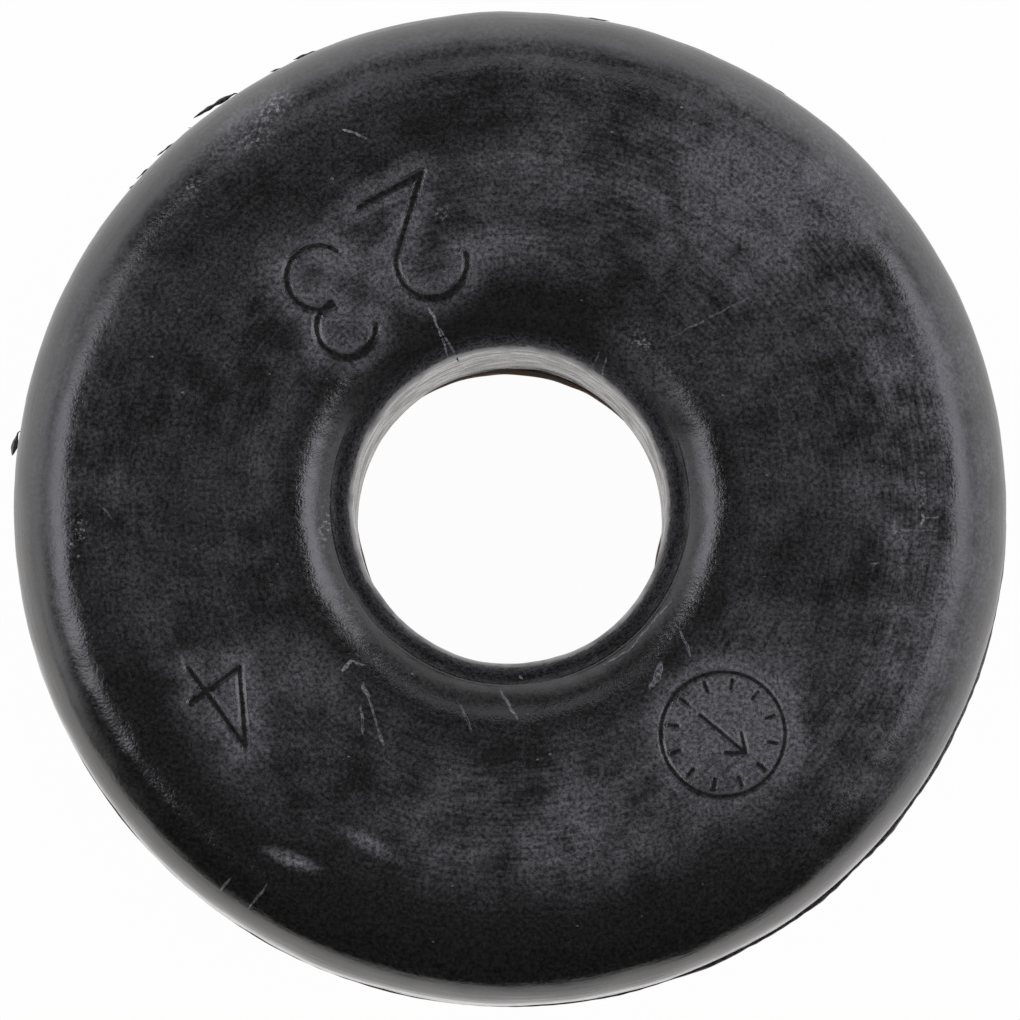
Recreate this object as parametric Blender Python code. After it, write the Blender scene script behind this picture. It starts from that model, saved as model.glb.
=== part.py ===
"""Valve grommet for an engine's valve cover: one ring of moulded rubber.

Its thick flange lies on the cover, its neck fills the hole in the cover, its bead snaps through that
hole, and its bore grips the stub of the crankcase ventilation valve. The ring stands on its nose, with
its axis on Z.
"""

import math

import bmesh
import bpy
from mathutils import Vector

METRES_PER_MM = 0.001

# Driving sizes, in millimetres
TOTAL_HEIGHT = 16.0
BORE_DIAMETER = 12.0
FLANGE_DIAMETER = 38.0
FLANGE_THICKNESS = 7.0
PARTING_DEPTH = 5.7  # from the top face down to the mould's parting line, the widest place
TOP_DRAFT = 0.15  # how far the flange's side leans in between the parting line and the top face
UNDERSIDE_DRAFT = 0.05  # the same, between the parting line and the underside
COVER_HOLE_DIAMETER = 25.4
NECK_SQUEEZE = 0.6  # the neck is this much wider than the hole it fills
GROOVE_WIDTH = 3.0
BEAD_OVERLAP = 2.3  # how far the bead reaches past the edge of the hole, on each side
BEAD_LAND = 1.9  # straight height of the bead above its lead-in taper
NOSE_ENTRY = 1.2  # the nose is this much smaller than the hole, on each side

# Edge radii, in millimetres
TOP_EDGE_RADIUS = 2.6
MOUTH_RADIUS = 2.6
UNDERSIDE_EDGE_RADIUS = 0.9
GROOVE_ROOT_RADIUS = 0.5
BEAD_EDGE_RADIUS = 0.8
LEAD_IN_RADIUS = 1.6
NOSE_EDGE_RADIUS = 1.0
BORE_END_RADIUS = 0.3

# Fineness of the facets
TURN_STEPS = 96
CHORD_SAG = 0.01  # how far a chord of an arc may lie inside it, in millimetres
SHARP_EDGE_ANGLE = math.radians(35)

# Finish
RUBBER_COLOUR = (0.030, 0.030, 0.033, 1.0)
RUBBER_ROUGHNESS = 0.55


def clear_scene():
    for obj in list(bpy.data.objects):
        bpy.data.objects.remove(obj, do_unlink=True)


def rounded_corner(before, corner, after, radius):
    """Points of the arc that rounds the corner between two straight sides, or the corner itself."""
    if radius == 0:
        return [corner]
    to_before = (before - corner).normalized()
    to_after = (after - corner).normalized()
    half_angle = to_before.angle(to_after) / 2
    setback = radius / math.tan(half_angle)
    centre = corner + (to_before + to_after).normalized() * (radius / math.sin(half_angle))
    start = (corner + to_before * setback - centre).normalized()
    end = (corner + to_after * setback - centre).normalized()
    chord_turn = 2 * math.acos(1 - CHORD_SAG / radius)
    steps = math.ceil((math.pi - 2 * half_angle) / chord_turn)
    return [centre + radius * start.slerp(end, step / steps) for step in range(steps + 1)]


def rounded_outline(corners):
    """The closed outline through corners given as (radius from the axis, height, edge radius)."""
    places = [Vector((out, up)) for out, up, _ in corners]
    outline = []
    for index, (_, _, edge_radius) in enumerate(corners):
        before = places[index - 1]
        after = places[(index + 1) % len(places)]
        outline += rounded_corner(before, places[index], after, edge_radius)
    return outline


def grommet_section():
    """Half the section, in millimetres: down the outside, in along the nose and up the bore."""
    flange = FLANGE_DIAMETER / 2
    neck = (COVER_HOLE_DIAMETER + NECK_SQUEEZE) / 2
    bead = COVER_HOLE_DIAMETER / 2 + BEAD_OVERLAP
    nose = COVER_HOLE_DIAMETER / 2 - NOSE_ENTRY
    bore = BORE_DIAMETER / 2
    parting = TOTAL_HEIGHT - PARTING_DEPTH
    underside = TOTAL_HEIGHT - FLANGE_THICKNESS
    bead_top = underside - GROOVE_WIDTH
    return rounded_outline(
        [
            (flange - TOP_DRAFT, TOTAL_HEIGHT, TOP_EDGE_RADIUS),
            (flange, parting, 0),
            (flange - UNDERSIDE_DRAFT, underside, UNDERSIDE_EDGE_RADIUS),
            (neck, underside, GROOVE_ROOT_RADIUS),
            (neck, bead_top, GROOVE_ROOT_RADIUS),
            (bead, bead_top, BEAD_EDGE_RADIUS),
            (bead, bead_top - BEAD_LAND, LEAD_IN_RADIUS),
            (nose, 0, NOSE_EDGE_RADIUS),
            (bore, 0, BORE_END_RADIUS),
            (bore, TOTAL_HEIGHT, MOUTH_RADIUS),
        ]
    )


def turned_mesh(name, section):
    """The solid that a closed section makes in one full turn about Z."""
    shape = bmesh.new()
    points = [shape.verts.new((place.x, 0, place.y)) for place in section]
    edges = [shape.edges.new((points[index - 1], point)) for index, point in enumerate(points)]
    bmesh.ops.spin(
        shape,
        geom=points + edges,
        cent=(0, 0, 0),
        axis=(0, 0, 1),
        angle=math.tau,
        steps=TURN_STEPS,
        use_merge=True,
    )
    bmesh.ops.recalc_face_normals(shape, faces=shape.faces)
    bmesh.ops.scale(shape, vec=(METRES_PER_MM,) * 3, verts=shape.verts)
    mesh = bpy.data.meshes.new(name)
    shape.to_mesh(mesh)
    shape.free()
    mesh.shade_smooth()
    mesh.set_sharp_from_angle(angle=SHARP_EDGE_ANGLE)
    return mesh


def rubber():
    material = bpy.data.materials.new("rubber")
    material.use_nodes = True
    finish = material.node_tree.nodes["Principled BSDF"]
    finish.inputs["Base Color"].default_value = RUBBER_COLOUR
    finish.inputs["Roughness"].default_value = RUBBER_ROUGHNESS
    finish.inputs["Metallic"].default_value = 0.0
    material.diffuse_color = RUBBER_COLOUR
    return material


def grommet():
    mesh = turned_mesh("grommet", grommet_section())
    mesh.materials.append(rubber())
    body = bpy.data.objects.new("grommet", mesh)
    bpy.context.scene.collection.objects.link(body)
    return body


clear_scene()
grommet()
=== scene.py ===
"""The looks of the valve grommet: its moulded surface, flash and marks, its worn rubber, and the studio."""

import math

import bpy
import numpy as np
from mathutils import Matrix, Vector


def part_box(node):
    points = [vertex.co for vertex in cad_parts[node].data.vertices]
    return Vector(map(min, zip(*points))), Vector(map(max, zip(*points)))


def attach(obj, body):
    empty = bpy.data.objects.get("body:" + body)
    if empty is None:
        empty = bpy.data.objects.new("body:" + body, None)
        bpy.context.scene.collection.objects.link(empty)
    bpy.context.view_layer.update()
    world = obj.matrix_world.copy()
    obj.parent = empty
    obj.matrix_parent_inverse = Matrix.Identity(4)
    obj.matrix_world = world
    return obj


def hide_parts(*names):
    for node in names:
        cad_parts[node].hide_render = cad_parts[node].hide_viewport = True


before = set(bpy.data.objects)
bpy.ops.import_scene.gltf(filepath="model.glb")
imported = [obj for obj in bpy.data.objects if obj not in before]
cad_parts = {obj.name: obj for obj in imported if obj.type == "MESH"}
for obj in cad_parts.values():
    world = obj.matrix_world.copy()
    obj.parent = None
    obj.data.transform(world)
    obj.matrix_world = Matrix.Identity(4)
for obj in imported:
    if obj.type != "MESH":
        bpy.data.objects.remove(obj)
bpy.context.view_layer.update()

MM = 0.001
FAR_CORNER = np.array(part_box("grommet")[1]) / MM

# The moulded form, in millimetres
HEIGHT = FAR_CORNER[2]
FLANGE_RADIUS = FAR_CORNER[0]
BORE_RADIUS = 5.97
NECK_RADIUS = 13.0
BEAD_RADIUS = 15.0
NOSE_RADIUS = 11.5
UNDERSIDE = 9.0
PARTING = 10.3
BEAD_TOP = 6.0
BEAD_CORNER = 4.1
TOP_DRAFT = 0.15
UNDERSIDE_DRAFT = 0.05
BIG_RADIUS = 2.6  # of the flange's top edge and of the bore's mouth
UNDERSIDE_EDGE_RADIUS = 0.9
GROOVE_ROOT_RADIUS = 0.5
BEAD_EDGE_RADIUS = 0.8
LEAD_IN_RADIUS = 1.6
NOSE_EDGE_RADIUS = 1.0
BORE_END_RADIUS = 0.3

# How finely the surfaces are drawn: points round the part, and gaps in millimetres
BODY_COLUMNS = 450
FLASH_COLUMNS = 1440
LIP_COLUMNS = 720
TOP_ROW_GAP = 0.2
LOW_ROW_GAP = 0.42
BORE_ROW_GAP = 0.6
LINE_ROW_GAP = 0.03
LINE_ROWS = 4  # of the rows on each side of the witness line
MARK_GAP = 0.04
SLIVER_GRID = (5, 40)  # points across and along
BLADE_GRID = (7, 25)

# The skin's unevenness: height in millimetres, wavelength in millimetres and seed of each relief
RELIEFS = ((0.012, 6.0, 3), (0.007, 2.0, 4), (0.0025, 0.8, 5))

# The mould's witness line round the mouth, in millimetres
WITNESS_RADIUS = 6.88
WITNESS_HEIGHT = 0.016
WITNESS_WIDTH = 0.08

# The photograph's frame, in pixels, millimetres and radians
PICTURE_PIXELS = 1020
PIXELS_PER_MM = 26.42  # on the flange's face
CAMERA_DISTANCE = 400.0
CAMERA_LEAN = math.radians(2.45)
AIM_Y = -0.225
SENSOR_WIDTH = 36.0


def unit(vector):
    return vector / np.linalg.norm(vector, axis=-1, keepdims=True)


def rounded_corner(before, corner, after, radius, steps=24):
    """The arc of this radius that touches both straight sides of a corner, as points."""
    if radius == 0:
        return corner[None]
    to_before = unit(before - corner)
    to_after = unit(after - corner)
    half_angle = math.acos(np.dot(to_before, to_after)) / 2
    centre = corner + unit(to_before + to_after) * radius / math.sin(half_angle)
    start = corner + to_before * radius / math.tan(half_angle) - centre
    turn = np.linspace(0, math.pi - 2 * half_angle, steps + 1)[:, None]
    across = unit((corner + to_after * radius / math.tan(half_angle) - centre)
                  - start * math.cos(turn[-1, 0])) * radius
    return centre + start * np.cos(turn) + across * np.sin(turn)


def moulded_section():
    """Half the section as (radius, height) in millimetres: up the bore, out over the face and down."""
    corners = [
        (BORE_RADIUS, 0, BORE_END_RADIUS),
        (BORE_RADIUS, HEIGHT, BIG_RADIUS),
        (FLANGE_RADIUS - TOP_DRAFT, HEIGHT, BIG_RADIUS),
        (FLANGE_RADIUS, PARTING, 0),
        (FLANGE_RADIUS - UNDERSIDE_DRAFT, UNDERSIDE, UNDERSIDE_EDGE_RADIUS),
        (NECK_RADIUS, UNDERSIDE, GROOVE_ROOT_RADIUS),
        (NECK_RADIUS, BEAD_TOP, GROOVE_ROOT_RADIUS),
        (BEAD_RADIUS, BEAD_TOP, BEAD_EDGE_RADIUS),
        (BEAD_RADIUS, BEAD_CORNER, LEAD_IN_RADIUS),
        (NOSE_RADIUS, 0, NOSE_EDGE_RADIUS),
    ]
    places = np.array([corner[:2] for corner in corners], float)
    outline = [
        rounded_corner(places[index - 1], place, places[(index + 1) % len(places)], corners[index][2])
        for index, place in enumerate(places)
    ]
    outline.append(outline[0][:1])
    return np.concatenate(outline)


OUT, UP = 0, 1  # columns of the section's points: radius and height


class Section:
    """The section's outline by distance along it, in millimetres."""

    def __init__(self, outline):
        self.outline = outline
        self.run = np.concatenate([[0], np.cumsum(np.linalg.norm(np.diff(outline, axis=0), axis=1))])
        self.length = self.run[-1]

    def at(self, run):
        run = np.mod(run, self.length)
        return np.stack([np.interp(run, self.run, self.outline[:, k]) for k in (OUT, UP)], axis=-1)

    def outward(self, run, reach=0.02):
        """The outline's outward normal."""
        ahead = self.at(run + reach) - self.at(run - reach)
        return unit(np.stack([-ahead[..., UP], ahead[..., OUT]], axis=-1))

    def run_where(self, column, value, low, high):
        """Where, between two distances along the outline, its radius or height comes nearest to a value."""
        inside = (self.run >= low) & (self.run <= high)
        gap = np.abs(self.outline[:, column] - value)
        gap[~inside] = np.inf
        return self.run[np.argmin(gap)]


def grid_faces(rows, columns, closed_rows, closed_columns):
    """Quads of a grid of points, joined up round either way."""
    row = np.arange(rows if closed_rows else rows - 1)[:, None]
    column = np.arange(columns if closed_columns else columns - 1)[None]
    next_row = (row + 1) % rows
    next_column = (column + 1) % columns
    corners = [
        row * columns + column,
        row * columns + next_column,
        next_row * columns + next_column,
        next_row * columns + column,
    ]
    return np.stack([corner.ravel() for corner in corners], axis=-1)


def pillow_faces(rows, columns):
    """Quads of a grid of points and of a second sheet under it that shares the grid's border.

    The rows of the upper sheet follow each other to the left of the way that its columns go.
    """
    upper = np.arange(rows * columns).reshape(rows, columns)
    lower = upper.copy()
    inner = lower[1:-1, 1:-1]
    inner[:] = rows * columns + np.arange(inner.size).reshape(inner.shape)
    sheets = []
    for sheet, order in ((upper, -1), (lower, 1)):
        corners = [sheet[:-1, :-1], sheet[1:, :-1], sheet[1:, 1:], sheet[:-1, 1:]]
        sheets.append(np.stack([corner.ravel() for corner in corners], axis=-1)[:, ::order])
    return np.concatenate(sheets)


# Where the face is greyer or cleaner than elsewhere, in millimetres from the middle: x, y, turn in
# degrees, half length, half width, and how much greyer
PATCHES = {
    "grey_behind_bore": (0.0, 9.8, 0, 3.4, 1.5, 0.80),
    "grey_top": (2.0, 12.7, -5, 5.2, 2.3, 0.65),
    "grey_numbers": (-6.4, 8.4, 35, 4.4, 3.4, 0.85),
    "grey_upper_right": (7.8, 10.8, -40, 6.4, 3.8, 1.25),
    "grey_right": (13.8, 1.5, 90, 5.0, 2.2, 0.45),
    "grey_lower_right": (8.6, -8.6, 45, 4.6, 3.6, 0.75),
    "grey_low": (1.5, -12.2, 5, 7.4, 3.4, 1.10),
    "grey_round_dial": (8.3, -8.3, 0, 3.6, 3.2, 0.9),
    "clean_right": (10.6, -2.0, 70, 3.4, 2.4, -0.6),
    "clean_by_mouth": (9.4, 2.6, 90, 3.0, 1.3, -0.45),
    "clean_left": (-12.2, -0.5, 90, 7.5, 3.6, -0.48),
    "clean_low_left": (-6.3, -13.3, -25, 4.6, 2.2, -0.60),
    "clean_spot": (6.26, -6.2, 60, 0.9, 0.45, -0.85),
    "clean_over_bore": (-1.0, 8.0, 10, 3.4, 0.9, -0.60),
    "clean_top_left": (-2.6, 13.9, 10, 3.8, 1.9, -0.40),
    "clean_far_left": (-12.0, 6.5, 60, 3.6, 2.4, -0.35),
}

# Pale scratches and cuts in the same terms, but with the last number as their strength
SCRATCHES = {
    "split_over_bore_top": (-2.92, 7.13, -63, 0.60, 0.07, 1.0),
    "split_over_bore_left": (-2.52, 6.15, -72, 0.66, 0.06, 1.0),
    "split_over_bore_right": (-2.31, 6.13, -59, 0.70, 0.06, 0.8),
    "hair_left": (-6.15, 14.15, -10, 0.24, 0.06, 0.9),
    "hair_right": (-5.70, 13.97, -28, 0.36, 0.06, 0.9),
    "gouge_lower_left": (-6.17, -6.13, 49, 0.32, 0.10, 1.0),
    "gouge_curl": (-5.75, -6.02, -21, 0.30, 0.06, 0.6),
    "scratch_left_top": (-5.44, -7.07, -68, 0.38, 0.10, 0.8),
    "scratch_left_middle": (-5.17, -7.92, -74, 0.66, 0.05, 0.5),
    "scratch_left_foot": (-4.90, -8.82, -72, 0.42, 0.08, 0.6),
    "scratch_left_side": (-5.59, -8.16, -87, 0.62, 0.06, 0.6),
    "scratch_below_bore": (-0.04, -7.58, -60, 0.76, 0.07, 0.7),
    "scratch_below_faint": (-1.67, -8.07, -65, 0.58, 0.06, 0.4),
    "long_fine_scratch": (7.54, 7.05, 27, 1.95, 0.05, 0.4),
    "scratch_right_of_bore": (5.28, -4.60, 50, 1.40, 0.06, 0.6),
    "scratch_right_foot": (4.02, -5.80, 29, 0.62, 0.06, 0.5),
    "scratch_right_short": (6.65, -5.29, -66, 0.60, 0.06, 0.6),
    "pale_leaf": (5.53, -6.50, 72, 0.62, 0.16, 0.6),
    "rim_tick_one": (3.58, 5.21, 80, 0.42, 0.06, 0.7),
    "rim_tick_two": (3.27, 5.57, 63, 0.30, 0.05, 0.5),
    "right_stem": (15.96, -0.51, 4, 0.32, 0.05, 0.6),
    "right_upper_arm": (15.63, -0.45, -64, 0.12, 0.05, 0.8),
    "right_lower_arm": (15.61, -0.67, 60, 0.15, 0.06, 0.9),
    "right_line": (15.27, -1.01, 0, 1.05, 0.05, 0.35),
    "right_dot": (14.67, -1.07, 0, 0.12, 0.09, 0.8),
    "right_dash": (13.81, -2.26, 0, 0.20, 0.05, 0.5),
    "low_left_cut_one": (-10.76, -14.39, 51, 0.34, 0.05, 0.6),
    "low_left_cut_two": (-9.55, -14.85, 51, 0.64, 0.05, 0.5),
    "left_faint_scratch": (-15.27, -0.32, -48, 0.50, 0.05, 0.25),
    "dot_below_bore": (0.41, -6.55, 0, 0.08, 0.08, 1.0),
    "dot_left": (-16.59, -1.54, 0, 0.08, 0.08, 0.9),
    "dot_left_lower": (-16.33, -1.96, 0, 0.07, 0.07, 0.6),
    "dot_right": (15.59, 1.21, 0, 0.08, 0.06, 0.8),
    "dot_by_numbers": (-6.75, 12.35, 0, 0.08, 0.07, 0.8),
}

# Soft pale smears, and areas flecked with scuffs, in the same terms
SMUDGES = {
    "smear_lower_left": (-8.26, -13.45, -21, 1.5, 0.38, 0.85),
    "smear_low": (-5.2, -12.9, -28, 1.9, 0.42, 0.62),
    "haze_upper_left": (-10.0, 14.6, 42, 3.4, 1.2, 0.45),
    "mouth_upper_right": (5.3, 5.2, 135, 3.4, 1.7, 0.26),
    "mouth_left": (-7.2, 2.2, 70, 2.4, 1.0, 0.22),
}
SCUFFS = {
    "scuff_upper_left": (-9.0, 15.1, 40, 1.2, 0.6, 1.0),
    "scuff_upper_left_inner": (-9.6, 13.9, 20, 1.0, 0.45, 0.8),
    "scuff_far_upper_left": (-12.1, 12.0, 45, 0.7, 0.4, 0.8),
    "scuff_mouth_left": (-7.0, -0.8, 80, 1.6, 0.5, 0.7),
    "scuff_mouth_lower_left": (-6.3, -3.6, 120, 1.2, 0.5, 0.5),
    "scuff_left": (-16.3, -0.95, 90, 0.9, 0.35, 0.8),
    "scuff_by_mouth": (4.95, 6.2, -40, 0.7, 0.4, 0.7),
    "scuff_right": (15.6, 0.3, 90, 1.2, 0.3, 0.4),
    "scuff_numbers_corner": (-2.6, 11.0, 20, 0.35, 0.25, 1.0),
}

# The bloom's widest clouds: amount, wavelength in millimetres and seed
CLOUDS = ((0.07, 7.0, 71), (0.03, 3.0, 72))


def within(points, x, y, turn, half_length, half_width, half_depth=3.0):
    """1 at the middle of an ellipse on the face, falling smoothly to 0 at its edge."""
    turn = math.radians(turn)
    right, up, rise = points[:, 0] - x, points[:, 1] - y, points[:, 2] - HEIGHT
    along = (right * math.cos(turn) + up * math.sin(turn)) / half_length
    across = (up * math.cos(turn) - right * math.sin(turn)) / half_width
    far = np.minimum(1, np.sqrt(along**2 + across**2 + (rise / half_depth) ** 2))
    return 1 - far * far * (3 - 2 * far)


def wear(points):
    """How much greyer, scuffed and smudged the rubber is at each point."""
    greyer = np.ones(len(points))
    for *ellipse, change in PATCHES.values():
        greyer *= 1 + change * within(points, *ellipse)
    scuffed, smudged = (
        sum(strength * within(points, *ellipse) for *ellipse, strength in table.values())
        for table in (SCUFFS, SMUDGES)
    )
    cloudy = sum(amount * ripples(points, wavelength, seed) for amount, wavelength, seed in CLOUDS)
    return {"greyer": greyer, "scuffed": scuffed, "smudged": smudged, "cloudy": cloudy}


def piece(name, points, faces, material, **values):
    """A smooth-shaded object of these points, in millimetres, that rides on the part with its wear."""
    points = points.reshape(-1, 3)
    mesh = bpy.data.meshes.new(name)
    mesh.from_pydata((points * MM).tolist(), [], faces.tolist())
    mesh.shade_smooth()
    for value, amounts in {**wear(points), **values}.items():
        mesh.attributes.new(value, "FLOAT", "POINT").data.foreach_set("value", amounts.ravel())
    mesh.materials.append(material)
    made = bpy.data.objects.new(name, mesh)
    bpy.context.scene.collection.objects.link(made)
    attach(made, "root")
    return made


def ripples(points, wavelength, seed, waves=14):
    """Smooth random relief of mean 0 and deviation 1: plane waves in random directions, added up."""
    random = np.random.default_rng(seed)
    heading = unit(random.normal(size=(waves, 3)))
    number = heading * (2 * math.pi / wavelength) * random.uniform(0.7, 1.4, (waves, 1))
    phase = random.uniform(0, 2 * math.pi, waves)
    total = np.zeros(points.shape[:-1])
    for wave in range(waves):
        total += np.cos(points @ number[wave] + phase[wave])
    return total / math.sqrt(waves / 2)


def unevenness(points):
    """How far the moulded skin stands off its true form, in millimetres."""
    return sum(height * ripples(points, wavelength, seed) for height, wavelength, seed in RELIEFS)


def ridge(distance, width):
    """A rounded ridge of height 1 across a distance: the bell curve of that width."""
    return np.exp(-((distance / width) ** 2))


def on_turn(radius, angle, height):
    """Points at a radius from the axis, an angle about it and a height."""
    radius, angle, height = np.broadcast_arrays(radius, angle, height)
    return np.stack([radius * np.cos(angle), radius * np.sin(angle), height], axis=-1)


def bend(centre, radius, first, last):
    """An arc as points, from one angle to another in degrees, in units of a mark's height."""
    turn = np.radians(np.arange(first, last, 1.5 if last > first else -1.5))
    return np.array(centre) + radius * np.stack([np.cos(turn), np.sin(turn)], axis=-1)


def lines(*corners):
    """Straight strokes from corner to corner, as points."""
    along = np.linspace(0, 1, 81)[:, None]
    sides = zip(corners, corners[1:])
    return [np.array(first) * (1 - along) + np.array(last) * along for first, last in sides]


def dial():
    """A ring with twelve ticks inside it and an arrow across its middle."""
    clock = [math.radians(30 * hour) for hour in range(12)]
    ticks = [lines(*((far * math.cos(a), far * math.sin(a)) for far in (0.37, 0.44))) for a in clock]
    arrow = lines((0, -0.24), (0, 0.24)) + lines((-0.1, 0.11), (0, 0.24), (0.1, 0.11))
    return [bend((0, 0), 0.5, 0, 360), *sum(ticks, []), *arrow]


# The strokes of the plain numbers, in units of a mark's height, from its middle
TWO = [bend((0, 0.2), 0.3, 165, -38), *lines((0.236, 0.015), (-0.3, -0.5), (0.31, -0.5))]
THREE = [bend((0, 0.25), 0.25, 155, -90), bend((0, -0.23), 0.27, 90, -155)]
FOUR = lines((0.13, -0.5), (0.13, 0.5), (-0.3, -0.2), (0.31, -0.2))

# Raised marks: strokes, middle on the face, direction of their top in degrees, height, ridge height and
# the half width of the ridge's foot, in millimetres
MARKS = {
    "first_digit": (TWO, (-3.42, 9.98), -60.6, 4.5, 0.050, 0.245),
    "second_digit": (THREE, (-6.76, 7.70), -60.6, 4.5, 0.054, 0.255),
    "single_digit": (FOUR, (-10.70, -7.40), -54.0, 3.7, 0.048, 0.225),
    "dial": (dial(), (8.05, -8.7), -40.0, 4.7, 0.038, 0.18),
}
CREST = 0.055  # half width of a ridge's flat crest
SUNK = 0.02  # how deep the sheet that carries a mark lies under the face, between the strokes
SHEET = 0.15  # that sheet's thickness
RESIDUE_WIDTH = 0.5  # how far residue reaches from a ridge's foot

WHOLE_SECTION = moulded_section()
TOP_SECTION = WHOLE_SECTION[(WHOLE_SECTION[:, UP] > PARTING) & (WHOLE_SECTION[:, OUT] > BORE_RADIUS)]


def on_mark(mark, places):
    """Places given in a mark's own units, as x and y on the face in millimetres."""
    _, middle, top, height, _, _ = mark
    up = np.array([math.cos(math.radians(top)), math.sin(math.radians(top))])
    right = np.array([up[1], -up[0]])
    return np.array(middle) + height * (places[..., :1] * right + places[..., 1:] * up)


def on_face(spots, lift=0.0, reach=0.02):
    """Points over these spots, as far off the skin as lift says, on the face and its rounded edges."""
    radius = np.linalg.norm(spots, axis=1)
    inner, middle, outer = (np.interp(radius + step, *TOP_SECTION.T) for step in (-reach, 0, reach))
    slope = (outer - inner) / (2 * reach)
    face = np.column_stack([spots, middle])
    outward = unit(np.column_stack([-spots * (slope / radius)[:, None], np.ones(len(spots))]))
    return face + outward * (unevenness(face) + lift)[:, None]


def stroke_distance(mark, spots, thinned=1):
    """How far each spot on the face is from the nearest stroke of a mark, in millimetres."""
    strokes = on_mark(mark, np.concatenate(mark[0]))
    gaps = np.full(len(spots), np.inf)
    for stroke in np.array_split(strokes[::thinned], 40):
        gaps = np.minimum(gaps, np.linalg.norm(spots[:, None] - stroke[None], axis=-1).min(axis=1))
    return gaps


def up_flank(gap, foot):
    """How far up a ridge's flank a place is, from 0 at the foot to 1 on the crest."""
    return np.clip((foot - gap) / (foot - CREST), 0, 1)


def under(upper, rows, columns, thickness):
    """The inner points of a pillow's upper sheet, moved down by its thickness."""
    return upper.reshape(rows, columns, 3)[1:-1, 1:-1].reshape(-1, 3) - np.array([0, 0, thickness])


def raised_mark(name, mark, material):
    """A thin pillow just under the face, whose upper sheet rises in a rounded ridge along each stroke.

    Its height is half a cosine wave of the distance from the stroke, past the flat crest.
    """
    _, _, _, height, ridge_height, foot = mark
    margin = (foot + 0.15) / height
    reach = np.abs(np.concatenate(mark[0])).max(axis=0) + margin
    across, up = (np.arange(-most, most, MARK_GAP / height) for most in reach)
    places = np.stack(np.meshgrid(across, up), axis=-1)
    spots = on_mark(mark, places).reshape(-1, 2)
    gap = stroke_distance(mark, spots)
    face = np.column_stack([spots, np.full(len(spots), HEIGHT)])
    worn = 0.8 + 0.2 * ripples(face, 1.5, 31)
    rise = ridge_height * (0.5 - 0.5 * np.cos(math.pi * up_flank(gap, foot))) * worn
    sink = SUNK * np.clip((gap - foot) / 0.1, 0, 1) + 0.002
    upper = on_face(spots, rise - sink)
    lower = under(upper, len(up), len(across), SHEET)
    points = np.concatenate([upper, lower])
    residue = np.where(gap > foot, ridge(gap - foot, RESIDUE_WIDTH), 1 - 2 * up_flank(gap, foot))
    residue = np.concatenate([residue, np.zeros(len(lower))])
    return piece(name, points, pillow_faces(len(up), len(across)), material, residue=residue)


def residue_round_marks(points):
    """1 by the strokes of the marks, where residue stays, falling to 0 within a millimetre."""
    points = points.reshape(-1, 3)
    amount = np.zeros(len(points))
    for mark in MARKS.values():
        _, middle, _, height, _, foot = mark
        from_middle = np.linalg.norm(points[:, :2] - np.array(middle), axis=1)
        near = (points[:, 2] > HEIGHT - 0.3) & (from_middle < height)
        gap = stroke_distance(mark, points[near, :2], 4)
        amount[near] = np.maximum(amount[near], ridge(np.maximum(gap - foot, 0), RESIDUE_WIDTH))
    return amount


def grommet_body(material):
    """The moulded ring: the section turned about Z, with each point moved out by its relief."""
    section = Section(WHOLE_SECTION)
    bore_end = section.run_where(UP, BORE_END_RADIUS, 0, 2)
    rim = section.run_where(UP, HEIGHT - BIG_RADIUS, 5, HEIGHT)
    witness = section.run_where(OUT, WITNESS_RADIUS, rim + 0.2, rim + 4)
    parting = section.run_where(UP, PARTING, rim + 15, rim + 30)
    side_end = parting + 2.5
    rows = np.concatenate(
        [
            np.arange(bore_end, rim - 0.3, BORE_ROW_GAP),
            np.arange(rim - 0.3, side_end, TOP_ROW_GAP),
            np.arange(side_end, section.length + bore_end, LOW_ROW_GAP),
            witness + np.arange(-LINE_ROWS, LINE_ROWS + 1) * LINE_ROW_GAP,
        ]
    )
    rows = np.unique(np.round(rows, 4))
    angle = np.arange(BODY_COLUMNS) * (2 * math.pi / BODY_COLUMNS)
    place = section.at(rows)[:, None]
    outward = section.outward(rows)[:, None]
    true_form = on_turn(place[..., OUT], angle[None], place[..., UP])
    line_strength = 0.7 + 0.3 * ripples(true_form, 5.0, 8)
    relief = unevenness(true_form)
    relief += WITNESS_HEIGHT * ridge(rows - witness, WITNESS_WIDTH)[:, None] * line_strength
    off_floor = np.clip(true_form[..., 2:] / 0.5, 0, 1)
    relief = relief[..., None] * off_floor
    points = true_form + on_turn(outward[..., OUT], angle[None], outward[..., UP]) * relief
    faces = grid_faces(len(rows), BODY_COLUMNS, True, True)
    body = piece("grommet_body", points, faces[:, ::-1], material, residue=residue_round_marks(points))
    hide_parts("grommet")


# The blades that stand for scratches, in millimetres, and the specks strewn between them
BLADE_HEIGHT = 0.008
BLADE_RIM = 0.002
BLADE_THICKNESS = 0.03
SPECKS = 70
SPECK_RADII = (7.0, 17.0)
SPECK_SIZES = (0.03, 0.06)
SPECK_STRENGTHS = (0.25, 0.8)


def strewn_specks():
    """Small round specks at random places on the face, in the terms of the scratches."""
    random = np.random.default_rng(81)
    ranges = (SPECK_RADII, (0, 2 * math.pi), SPECK_SIZES, SPECK_STRENGTHS)
    specks = zip(*(random.uniform(low, high, SPECKS) for low, high in ranges))
    return [(far * math.cos(at), far * math.sin(at), 0, size, 0.8 * size, pale)
            for far, at, size, pale in specks]


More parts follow.
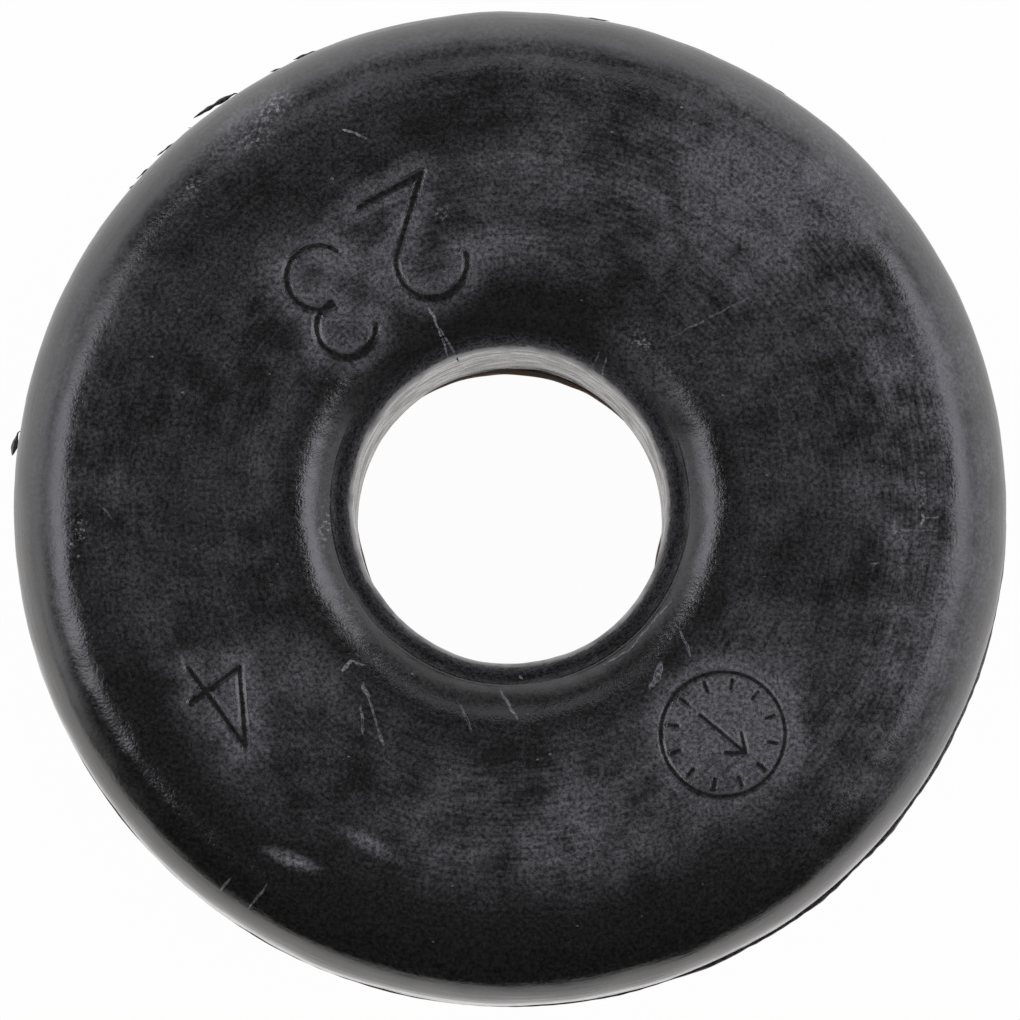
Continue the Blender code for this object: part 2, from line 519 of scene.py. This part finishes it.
def scratch_blades(material):
    """All scratches in one piece: each a thin blade of torn rubber on the skin, sharp at both ends.

    Its half width is that of an ellipse, its upper side a parabola across, and its rim is under the skin.
    """
    rows, columns = BLADE_GRID
    places = np.meshgrid(np.linspace(-1, 1, rows), np.linspace(-1, 1, columns), indexing="ij")
    across, along = (place.ravel() for place in places)
    points, faces, scratched = [], [], []
    for x, y, turn, half_length, half_width, strength in [*SCRATCHES.values(), *strewn_specks()]:
        heading = np.array([math.cos(math.radians(turn)), math.sin(math.radians(turn))])
        middle = np.array([x, y]) + (half_length * along)[:, None] * heading
        wander = 0.3 * ripples(np.column_stack([middle, np.zeros(len(middle))]), 0.6, 61)
        offset = half_width * (across * np.sqrt(1.02 - along**2) + wander)
        spots = middle + offset[:, None] * np.array([-heading[1], heading[0]])
        swell = (1 - across**2) * (1 - along**4)
        upper = on_face(spots, BLADE_HEIGHT * swell - BLADE_RIM)
        lower = under(upper, rows, columns, BLADE_THICKNESS)
        faces.append(pillow_faces(rows, columns) + sum(map(len, points)))
        points.append(np.concatenate([upper, lower]))
        scratched.append(np.concatenate([strength * swell**0.5, np.zeros(len(lower))]))
    return piece("scratches", np.concatenate(points), np.concatenate(faces), material,
                 scratched=np.concatenate(scratched))


# Flash: thin film squeezed out between the mould's halves, in millimetres. Where it stands out more: by
# how much, at which angle from the right and over how wide an angle, in degrees
FLASH_THICKNESS = 0.05
FLASH_BASE = 0.012
FLASH_SWELLS = {
    "lower_right": (0.13, -47, 22),
    "right": (0.05, -12, 18),
    "foot": (0.025, -95, 65),
}


def flash_reach(angle):
    """How far the film stands out at the parting line: bell curves of the angle, in millimetres."""
    reach = np.full(angle.shape, FLASH_BASE)
    for most, at, wide in FLASH_SWELLS.values():
        reach += most * ridge(angle - math.radians(at), math.radians(wide))
    return reach


def parting_flash(material):
    """The film round the flange: a thin wedge whose outer edge is torn unevenly."""
    angle = np.linspace(-math.pi, math.pi, FLASH_COLUMNS, endpoint=False)
    edge = on_turn(FLANGE_RADIUS, angle, PARTING)
    torn = 1 + 0.16 * ripples(edge, 3.0, 21) + 0.07 * ripples(edge, 0.7, 22)
    reach = flash_reach(angle) * np.clip(torn, 0.2, 2)
    droop = 0.3 * reach
    inner = FLANGE_RADIUS - 0.08
    outer = FLANGE_RADIUS + reach
    loop = [
        on_turn(inner, angle, PARTING + FLASH_THICKNESS),
        on_turn(FLANGE_RADIUS + 0.3 * reach, angle, PARTING + 0.7 * FLASH_THICKNESS - 0.3 * droop),
        on_turn(outer, angle, PARTING + 0.3 * FLASH_THICKNESS - droop),
        on_turn(outer, angle, PARTING - 0.3 * FLASH_THICKNESS - droop),
        on_turn(inner, angle, PARTING - FLASH_THICKNESS),
    ]
    faces = grid_faces(len(loop), FLASH_COLUMNS, True, True)[:, ::-1]
    return piece("parting_flash", np.stack(loop), faces, material)


# Slivers of that film that have torn loose but for one end: the angles of the fixed and the free end in
# degrees, how far the free end stands off and how wide the sliver is, in millimetres
SLIVERS = {
    "sliver_top": (111.0, 115.7, 0.25, 0.10),
    "sliver_second": (116.4, 118.8, 0.24, 0.08),
    "sliver_long": (122.6, 128.9, 0.40, 0.17),
    "sliver_speck": (129.6, 130.1, 0.25, 0.06),
    "sliver_fourth": (131.9, 134.9, 0.25, 0.10),
    "sliver_fifth": (136.0, 138.4, 0.21, 0.08),
    "sliver_last": (138.7, 139.8, 0.18, 0.06),
    "sliver_left": (170.6, 173.7, 0.23, 0.20),
    "sliver_near_top": (84.0, 78.5, 0.23, 0.07),
    "sliver_upper_right": (64.0, 56.5, 0.20, 0.07),
}


def sliver(name, fixed, free, lift, width, material):
    """A blade that leaves the flange's side at one end, flat and pointed, and bends away from it.

    Its section is an ellipse, whose half width grows from either end as a power of the distance.
    """
    rows, columns = SLIVER_GRID
    leftwards = np.linspace(1, -1, rows) * math.copysign(1, free - fixed)
    across, along = np.meshgrid(leftwards, np.linspace(0, 1, columns), indexing="ij")
    angle = np.radians(fixed + (free - fixed) * along)
    middle = FLANGE_RADIUS + lift * (0.5 + 0.5 * along) * np.minimum(1, along / 0.12)
    half_width = width / 2 * np.minimum(1, along / 0.45) ** 0.7 * np.minimum(1, (1 - along) / 0.3) ** 0.7
    edge = on_turn(FLANGE_RADIUS, angle, PARTING)
    half_width = np.maximum(half_width * (1 + 0.3 * ripples(edge, 0.5, 41)), 0.004)
    radius = middle + half_width * across
    height = PARTING - 0.15 * along * lift
    thickness = np.minimum(half_width, 0.03) * np.sqrt(1 - across**2)
    upper = on_turn(radius, angle, height + thickness)
    lower = on_turn(radius, angle, height - thickness)[1:-1, 1:-1]
    points = np.concatenate([upper.reshape(-1, 3), lower.reshape(-1, 3)])
    return piece(name, points, pillow_faces(rows, columns), material)


# Film at the bore's lower end, its brown a painted shadow: where it starts and ends, in degrees, and how
# far it reaches in
LIP_ARCS = ((37, 128, 0.20), (181, 214, 0.07), (340, 357, 0.07))
LIP_SUNK = 0.04  # how deep its edge lies in the wall elsewhere


def lip_reach(angle):
    """How far the film reaches in, by the angle in degrees: nearly half a sine wave over each arc."""
    reach = np.full(angle.shape, -LIP_SUNK)
    for first, last, most in LIP_ARCS:
        part = np.clip((angle - first) / (last - first), 0, 1)
        reach = np.maximum(reach, (most + LIP_SUNK) * np.sin(math.pi * part) ** 0.9 - LIP_SUNK)
    return reach


def bore_lip(material):
    """Film left at the bore's lower end: a thin wedge that points at the axis. Its brown is painted shadow.
    """
    degrees = np.arange(LIP_COLUMNS) * (360 / LIP_COLUMNS)
    angle = np.radians(degrees)
    edge = on_turn(BORE_RADIUS, angle, 0.3)
    reach = lip_reach(degrees) * (1 + 0.05 * ripples(edge, 1.2, 51))
    inner = BORE_RADIUS - reach
    outer = BORE_RADIUS + 0.08
    loop = [
        on_turn(outer, angle, 0.30),
        on_turn(inner, angle, 0.33),
        on_turn(inner, angle, 0.37),
        on_turn(outer, angle, 0.46),
    ]
    faces = grid_faces(len(loop), LIP_COLUMNS, True, True)[:, ::-1]
    return piece("bore_lip", np.stack(loop), faces, material)


class Wire:
    """A number on its way through a material's nodes, so that their maths reads as arithmetic."""

    def __init__(self, tree, socket):
        self.tree = tree
        self.socket = socket

    def maths(self, operation, *values):
        node = self.tree.nodes.new("ShaderNodeMath")
        node.operation = operation
        for place, value in zip(node.inputs, values):
            feed(self.tree, place, value)
        return Wire(self.tree, node.outputs[0])

    def __add__(self, other):
        return self.maths("ADD", self, other)

    __radd__ = __add__

    def __sub__(self, other):
        return self.maths("SUBTRACT", self, other)

    def __rsub__(self, other):
        return self.maths("SUBTRACT", other, self)

    def __mul__(self, other):
        return self.maths("MULTIPLY", self, other)

    __rmul__ = __mul__

    def __truediv__(self, other):
        return self.maths("DIVIDE", self, other)

    def __rtruediv__(self, other):
        return self.maths("DIVIDE", other, self)

    def __pow__(self, other):
        return self.maths("POWER", self, other)

    def __neg__(self):
        return self.maths("MULTIPLY", self, -1.0)

    def at_most(self, other):
        return self.maths("MINIMUM", self, other)

    def at_least(self, other):
        return self.maths("MAXIMUM", self, other)


def feed(tree, place, value):
    """Links a wire or an output to an input, or sets the input to a plain value."""
    if isinstance(value, Wire):
        value = value.socket
    if isinstance(value, bpy.types.NodeSocket):
        tree.links.new(value, place)
    else:
        place.default_value = value


class Nodes:
    """One material's node tree, with a short way to add each kind of node."""

    def __init__(self, tree):
        self.tree = tree
        tree.nodes.clear()

    def node(self, kind, settings=(), **sockets):
        """A node of a kind, with its settings set first and then its sockets fed by name."""
        made = self.tree.nodes.new("ShaderNode" + kind)
        for name, value in dict(settings).items():
            setattr(made, name, value)
        for name, value in sockets.items():
            matching = (s for s in made.inputs if name in (s.identifier, s.name.replace(" ", "_")))
            feed(self.tree, next(matching), value)
        return made

    def wire(self, socket):
        return Wire(self.tree, socket)

    def step(self, value, low, high):
        """0 where the value is at or past low, 1 at or past high, and a smooth rise between."""
        made = self.node("MapRange", {"interpolation_type": "SMOOTHSTEP"}, Value=value)
        for name, bound in (("From Min", low), ("From Max", high)):
            made.inputs[name].default_value = bound
        return self.wire(made.outputs["Result"])

    def noise(self, vector, scale, detail, roughness):
        made = self.node("TexNoise", Vector=vector, Scale=scale, Detail=detail, Roughness=roughness)
        return self.wire(made.outputs["Fac"])

    def blend(self, factor, first, second):
        """One colour going over to another as the factor goes from 0 to 1."""
        made = self.node("Mix", {"data_type": "RGBA"})
        feed(self.tree, made.inputs["Factor"], factor)
        feed(self.tree, made.inputs[6], first)
        feed(self.tree, made.inputs[7], second)
        return made.outputs[2]

    def stretched(self, vector, scale):
        made = self.node("VectorMath", {"operation": "MULTIPLY"})
        feed(self.tree, made.inputs[0], vector)
        feed(self.tree, made.inputs[1], scale)
        return made.outputs[0]


# Colours of the rubber: bare; greyed by bloom, which also carries the painted sheen and light of the edges;
# pale, in scratches, round marks and the painted highlight below the mouth; and the lip's film, a brown
# that is painted shadow
CLEAN = (0.0060, 0.0057, 0.0052, 1)
GREYED = (0.074, 0.0715, 0.0840, 1)
RESIDUE_AND_HIGHLIGHT = (0.165, 0.160, 0.180, 1)
LIP_SHADOW_BROWN = (0.36, 0.235, 0.165, 1)

# Noises of the rubber: scale, detail and roughness
RINGS = (1.0, 2.0, 0.6)
MOTTLE = (0.8, 3.0, 0.65)
GRAIN = (6.5, 2.0, 0.75)

# Where the finish changes: between which radii, in millimetres from the axis
SMOOTH_MOUTH = (6.3, 7.0)
BORE_EDGE = (6.15, 6.75)
MOUTH = (7.9, 9.6)
OUTER_FACE = (14.9, 15.9)
# The next two: where the front edge's painted shade and smoother finish begin, and where the right edge's
# painted light begins
FRONT_EDGE = (13.8, 16.2)
LIT_RIGHT_EDGE = (13.6, 15.6)
UPPER_LEFT_START = (13.0, 14.4)
UPPER_LEFT_END = (15.4, 16.6)

# The same, between which heights
FACE = (HEIGHT - 2.2, HEIGHT - 0.3)
ROUNDING = (HEIGHT - 0.35, HEIGHT - 0.03)
SIDE_TOP = (HEIGHT - 2.1, HEIGHT - 0.9)
SIDE_FOOT = (PARTING - 0.5, PARTING)
BORE_TOP = (HEIGHT - 3.6, HEIGHT - 2.8)
# The next two: where the painted highlight below the mouth starts and ends
RIM_HIGHLIGHT_START = (HEIGHT - 3.1, HEIGHT - 2.75)
RIM_HIGHLIGHT_END = (HEIGHT - 2.7, HEIGHT - 2.3)
LIP_TOP = (0.6, 0.9)

BUMP_HEIGHT = 0.03  # of the finest relief, in millimetres


class Skin:
    """What the rubber's finish is worked out from: the place on it, in millimetres, and three noises."""

    def __init__(self, nodes):
        self.nodes = nodes
        place = nodes.stretched(nodes.node("TexCoord").outputs["Object"], (1 / MM,) * 3)
        split = nodes.node("SeparateXYZ", Vector=place).outputs
        self.x, self.y, self.z = (nodes.wire(socket) for socket in split)
        self.radius = (self.x * self.x + self.y * self.y) ** 0.5
        self.rings = nodes.noise(self.round_the_axis(), *RINGS)
        self.mottle = nodes.noise(place, *MOTTLE)
        self.grain = nodes.noise(place, *GRAIN)
        self.in_bore = 1 - self.outside((BORE_RADIUS + 0.1, BORE_RADIUS + 0.5))
        self.face = self.above(FACE)
        self.front = self.towards(-105, 80, 35) * self.outside(FRONT_EDGE)

    def round_the_axis(self):
        """A place for noises that are long round the part and short across its section."""
        across = 7.0 * self.radius - 1.4 * self.z
        around = {"X": 5 * self.x / self.radius, "Y": 5 * self.y / self.radius}
        return self.nodes.node("CombineXYZ", **around, Z=across).outputs[0]

    def outside(self, radii):
        return self.nodes.step(self.radius, *radii)

    def above(self, heights):
        return self.nodes.step(self.z, *heights)

    def towards(self, degrees, wide, narrow):
        """1 within an angle of a direction from the axis, and 0 past a wider one."""
        turn = math.radians(degrees)
        along = (self.x * math.cos(turn) + self.y * math.sin(turn)) / self.radius
        return self.nodes.step(along, math.cos(math.radians(wide)), math.cos(math.radians(narrow)))

    def value(self, name):
        """One of the values that a mesh carries on its points."""
        return self.nodes.wire(self.nodes.node("Attribute", {"attribute_name": name}).outputs["Fac"])


def bloom_and_painted_light(skin):
    """How grey the face is: clouds and rings of bloom, less of it where the upper-left and outer edges are
    rubbed clean, almost none at the front edge as painted shade, and more at the right edge as painted
    light.
    """
    amount = 0.30 + skin.value("cloudy") + 1.05 * (skin.mottle - 0.5) + 0.6 * (skin.rings - 0.5)
    amount = amount.at_least(0.05)
    amount = amount * skin.value("greyer")
    upper_left = skin.towards(130, 45, 20) * skin.outside(UPPER_LEFT_START)
    upper_left = upper_left * (1 - skin.outside(UPPER_LEFT_END))
    # The right edge, which faces the right softbox, is made greyer and so paler below: painted light.
    lit_right_edge = skin.towards(12, 65, 30) * skin.outside(LIT_RIGHT_EDGE)
    # Less grey on the rubbed upper-left edge, and almost none on the front edge, which no lamp faces:
    # painted shade.
    amount = amount * (1 - 0.45 * upper_left) * (1 - 0.95 * skin.front)
    amount = amount * (1 - 0.12 * skin.outside(OUTER_FACE)) * (1 + 1.4 * lit_right_edge)
    return (amount * (0.12 + 0.88 * skin.face * skin.outside(MOUTH))).at_most(1.0)


def with_marks(skin, amount):
    """The bloom with the marks in it: residue beside their ridges, and their crests darker."""
    residue = skin.value("residue")
    crest = skin.nodes.step(0.6 * (skin.mottle - 0.5) + 0.5 * (skin.grain - 0.5) - residue, 0.55, 1.0)
    beside = 0.52 * residue.at_least(0.0) * (0.3 + 1.4 * skin.mottle)
    return (amount + beside) * (1 - (0.90 + 0.4 * (skin.rings - 0.5)) * crest)


def with_dusty_edges_and_sheen(skin, amount):
    """The same with the bore's upper edge dusted, and the flange's side paler: partly dust, partly a
    painted sheen.
    """
    side = (1 - skin.above(SIDE_TOP)) * skin.above(SIDE_FOOT)
    bore_edge = (1 - skin.outside(BORE_EDGE)) * skin.above(BORE_TOP)
    # The flange's side is paler all round: dust, and a painted sheen that stands for its glancing
    # reflection of the floor.
    side_dust_and_sheen = 0.5 * side * (0.1 + skin.mottle) * (0.6 + 0.8 * skin.grain)
    return amount + side_dust_and_sheen + 0.6 * bore_edge * (0.2 + skin.mottle)


def pale_wear_and_highlight(skin):
    """How pale the rubber is where it is scratched, scuffed or smeared, and on the line below the mouth,
    which is a painted highlight.
    """
    flecks = skin.nodes.step(skin.grain, 0.52, 0.64)
    # A pale line round the top of the bore's wall, below the mouth: a painted highlight.
    rim_highlight = skin.above(RIM_HIGHLIGHT_START) * (1 - skin.above(RIM_HIGHLIGHT_END)) * skin.in_bore
    scratches = skin.value("scratched") * (0.5 + 0.9 * skin.grain) + skin.value("scuffed") * flecks
    smudges = skin.value("smudged") * (0.4 + 1.2 * skin.mottle)
    return (scratches + smudges + 1.2 * rim_highlight * skin.rings).at_most(1.0)


def colour(skin, amount):
    """Bare rubber greyed by this amount, with its pale wear and painted highlight, its grain, and the lip's
    film in a brown that is painted shadow.
    """
    nodes = skin.nodes
    tone = nodes.blend(amount.at_most(1.0), CLEAN, GREYED)
    tone = nodes.blend(pale_wear_and_highlight(skin), tone, RESIDUE_AND_HIGHLIGHT)
    speckle = (1 + 4.9 * (skin.grain - 0.5)).at_least(0.3).at_most(1.8)
    grained = nodes.node("VectorMath", {"operation": "SCALE"}, Vector=tone, Scale=speckle).outputs[0]
    # The lip's brown: painted shadow at the bore's lower end.
    lip_shadow = (1 - skin.outside((BORE_RADIUS - 0.03, BORE_RADIUS + 0.02))) * (1 - skin.above(LIP_TOP))
    return nodes.blend(lip_shadow, grained, LIP_SHADOW_BROWN)


def roughness(skin, matt, rounded):
    """Rougher with bloom, grain and roundings, smoother in the mouth and at the front edge."""
    streaks = skin.nodes.step(skin.rings, 0.38, 0.62)
    smooth = 1 - skin.outside(SMOOTH_MOUTH)
    rough = 0.20 + 0.20 * matt + 0.25 * (skin.grain - 0.5) - 0.10 * smooth + 0.22 * skin.in_bore * streaks
    return rough + 0.09 * rounded * (1 - skin.in_bore) * (1 - 1.7 * skin.front)


def rubber():
    """Black moulded rubber, greyed by bloom and handling on its flats and cleaner on its edges."""
    material = bpy.data.materials.new("worn_rubber")
    material.use_nodes = True
    nodes = Nodes(material.node_tree)
    skin = Skin(nodes)
    greyed = with_marks(skin, bloom_and_painted_light(skin))
    rounded = 1 - skin.above(ROUNDING)
    relief = skin.grain * (1 - 0.65 * rounded) + 1.5 * skin.rings * (1 - skin.face)
    bump = nodes.node("Bump", Strength=0.6, Distance=BUMP_HEIGHT * MM, Height=relief)
    shader = nodes.node(
        "BsdfPrincipled",
        Base_Color=colour(skin, with_dusty_edges_and_sheen(skin, greyed)),
        Roughness=roughness(skin, greyed.at_most(1.0), rounded),
        Metallic=0.0,
        IOR=2.05,
        Specular_IOR_Level=0.5,
        Normal=bump.outputs[0],
    )
    nodes.node("OutputMaterial", Surface=shader.outputs[0])
    return material


def rays(nodes):
    """1 for the rays from the camera, and 1 for those off or through a shiny surface."""
    path = nodes.node("LightPath").outputs
    seen = [nodes.wire(path[name]) for name in ("Is Camera Ray", "Is Glossy Ray", "Is Transmission Ray")]
    return seen[0], seen[1].at_least(seen[2])


WHITE = (1, 1, 1, 1)
BLACK = (0, 0, 0, 1)
WARM = (1.0, 0.98, 0.97, 1)  # the floor, as the rubber mirrors it
PALE = (0.9, 0.9, 0.9, 1)
FLOOR_HALF = 1500.0  # in millimetres, as the next distances are
FLOOR_DROP = 0.05  # a hair under the part, so that the two don't share a plane
UNDER_PART = (8, 12)
FAR_FLOOR = (60, 250)
FRONT_FLOOR = (25, 120)


def pale_floor():
    """White to the camera but for a part of the object's shadow. Shiny surfaces see it dim far away."""
    material = bpy.data.materials.new("pale_floor")
    material.use_nodes = True
    nodes = Nodes(material.node_tree)
    to_camera, shiny = rays(nodes)
    place = nodes.stretched(nodes.node("TexCoord").outputs["Object"], (1 / MM,) * 3)
    x, y, _ = (nodes.wire(socket) for socket in nodes.node("SeparateXYZ", Vector=place).outputs)
    distance = (x * x + y * y) ** 0.5
    hidden = 1 - nodes.step(distance, *UNDER_PART)
    dim = 0.38 * nodes.step(distance, *FAR_FLOOR) + 0.34 * nodes.step(-y, *FRONT_FLOOR)
    shown = nodes.blend(shiny, WHITE, nodes.blend(dim, WARM, BLACK))
    mixed = nodes.node("MixShader", Fac=0.97 * to_camera.at_least(shiny * (1 - 0.32 * hidden)))
    nodes.tree.links.new(nodes.node("BsdfDiffuse", Color=PALE).outputs[0], mixed.inputs[1])
    nodes.tree.links.new(nodes.node("Emission", Color=shown, Strength=1.0).outputs[0], mixed.inputs[2])
    nodes.node("OutputMaterial", Surface=mixed.outputs[0])
    material.cycles.emission_sampling = "NONE"
    return material


def floor():
    mesh = bpy.data.meshes.new("floor")
    half = FLOOR_HALF * MM
    low = -FLOOR_DROP * MM
    corners = [(-half, -half, low), (half, -half, low), (half, half, low), (-half, half, low)]
    mesh.from_pydata(corners, [], [(0, 1, 2, 3)])
    mesh.materials.append(pale_floor())
    made = bpy.data.objects.new("floor", mesh)
    bpy.context.scene.collection.objects.link(made)


AMBIENT = 0.62  # the room's own light, next to the lamps'
DARK_ROOM = 0.02  # what shiny surfaces see of it where it isn't white
ROOM_TINT = (0.965, 0.96, 1.0, 1)
LOW_IN_ROOM = (0.10, 0.58)  # where the white ends, as the sine of the angle above the floor
FRONT_OF_ROOM = (-0.65, -0.15)  # where the dark front ends, as the sine of the angle from the right


def surroundings():
    """A dim room that looks white, and that shiny surfaces see white low down but for its dark front."""
    world = bpy.data.worlds.new("room")
    bpy.context.scene.world = world
    world.use_nodes = True
    nodes = Nodes(world.node_tree)
    to_camera, shiny = rays(nodes)
    split = nodes.node("SeparateXYZ", Vector=nodes.node("TexCoord").outputs["Generated"]).outputs
    x, y, z = (nodes.wire(socket) for socket in split)
    back = y / ((x * x + y * y) ** 0.5)
    low_down = (1 - nodes.step(z, *LOW_IN_ROOM)) * nodes.step(back, *FRONT_OF_ROOM)
    white = to_camera.at_least(shiny * low_down)
    room = AMBIENT - (AMBIENT - DARK_ROOM) * shiny
    tint = nodes.blend(shiny, WHITE, ROOM_TINT)
    background = nodes.node("Background", Color=tint, Strength=room + (1 - room) * white)
    nodes.node("OutputWorld", Surface=background.outputs[0])


# The lamps: direction in degrees round and up, distance, width and height in metres, and watts
LAMPS = {
    "right_softbox": (13, 48, 0.7, 0.52, 0.32, 0.86),
    "left_softbox": (175, 48, 0.7, 0.42, 0.32, 0.68),
    "back_fill": (90, 60, 0.9, 0.5, 0.3, 0.20),
}
COOL = (0.93, 0.915, 1.0)


def softbox(name, azimuth, elevation, distance, width, height, watts):
    """An area lamp that faces the part."""
    lamp = bpy.data.lights.new(name, "AREA")
    lamp.shape = "RECTANGLE"
    lamp.size = width
    lamp.size_y = height
    lamp.energy = watts
    lamp.color = COOL
    made = bpy.data.objects.new(name, lamp)
    bpy.context.scene.collection.objects.link(made)
    around = math.radians(azimuth)
    up = math.radians(elevation)
    made.location = distance * np.array(
        (math.cos(up) * math.cos(around), math.cos(up) * math.sin(around), math.sin(up))
    )
    made.rotation_euler = (math.pi / 2 - up, 0, around + math.pi / 2)


def camera():
    """Straight above the face but for a slight lean towards the picture's lower edge."""
    lens = bpy.data.cameras.new("camera")
    lens.sensor_width = SENSOR_WIDTH
    lens.lens = SENSOR_WIDTH * CAMERA_DISTANCE * PIXELS_PER_MM / PICTURE_PIXELS
    lens.clip_start = 0.01
    made = bpy.data.objects.new("camera", lens)
    bpy.context.scene.collection.objects.link(made)
    made.location = (
        0,
        (AIM_Y - CAMERA_DISTANCE * math.sin(CAMERA_LEAN)) * MM,
        (HEIGHT + CAMERA_DISTANCE * math.cos(CAMERA_LEAN)) * MM,
    )
    made.rotation_euler = (CAMERA_LEAN, 0, 0)
    bpy.context.scene.camera = made


camera()
surroundings()
floor()
for name, placing in LAMPS.items():
    softbox(name, *placing)
black_rubber = rubber()
grommet_body(black_rubber)
parting_flash(black_rubber)
bore_lip(black_rubber)
scratch_blades(black_rubber)
for name, mark in MARKS.items():
    raised_mark(name, mark, black_rubber)
for name, shape in SLIVERS.items():
    sliver(name, *shape, black_rubber)
bpy.context.scene.view_settings.view_transform = "Standard"
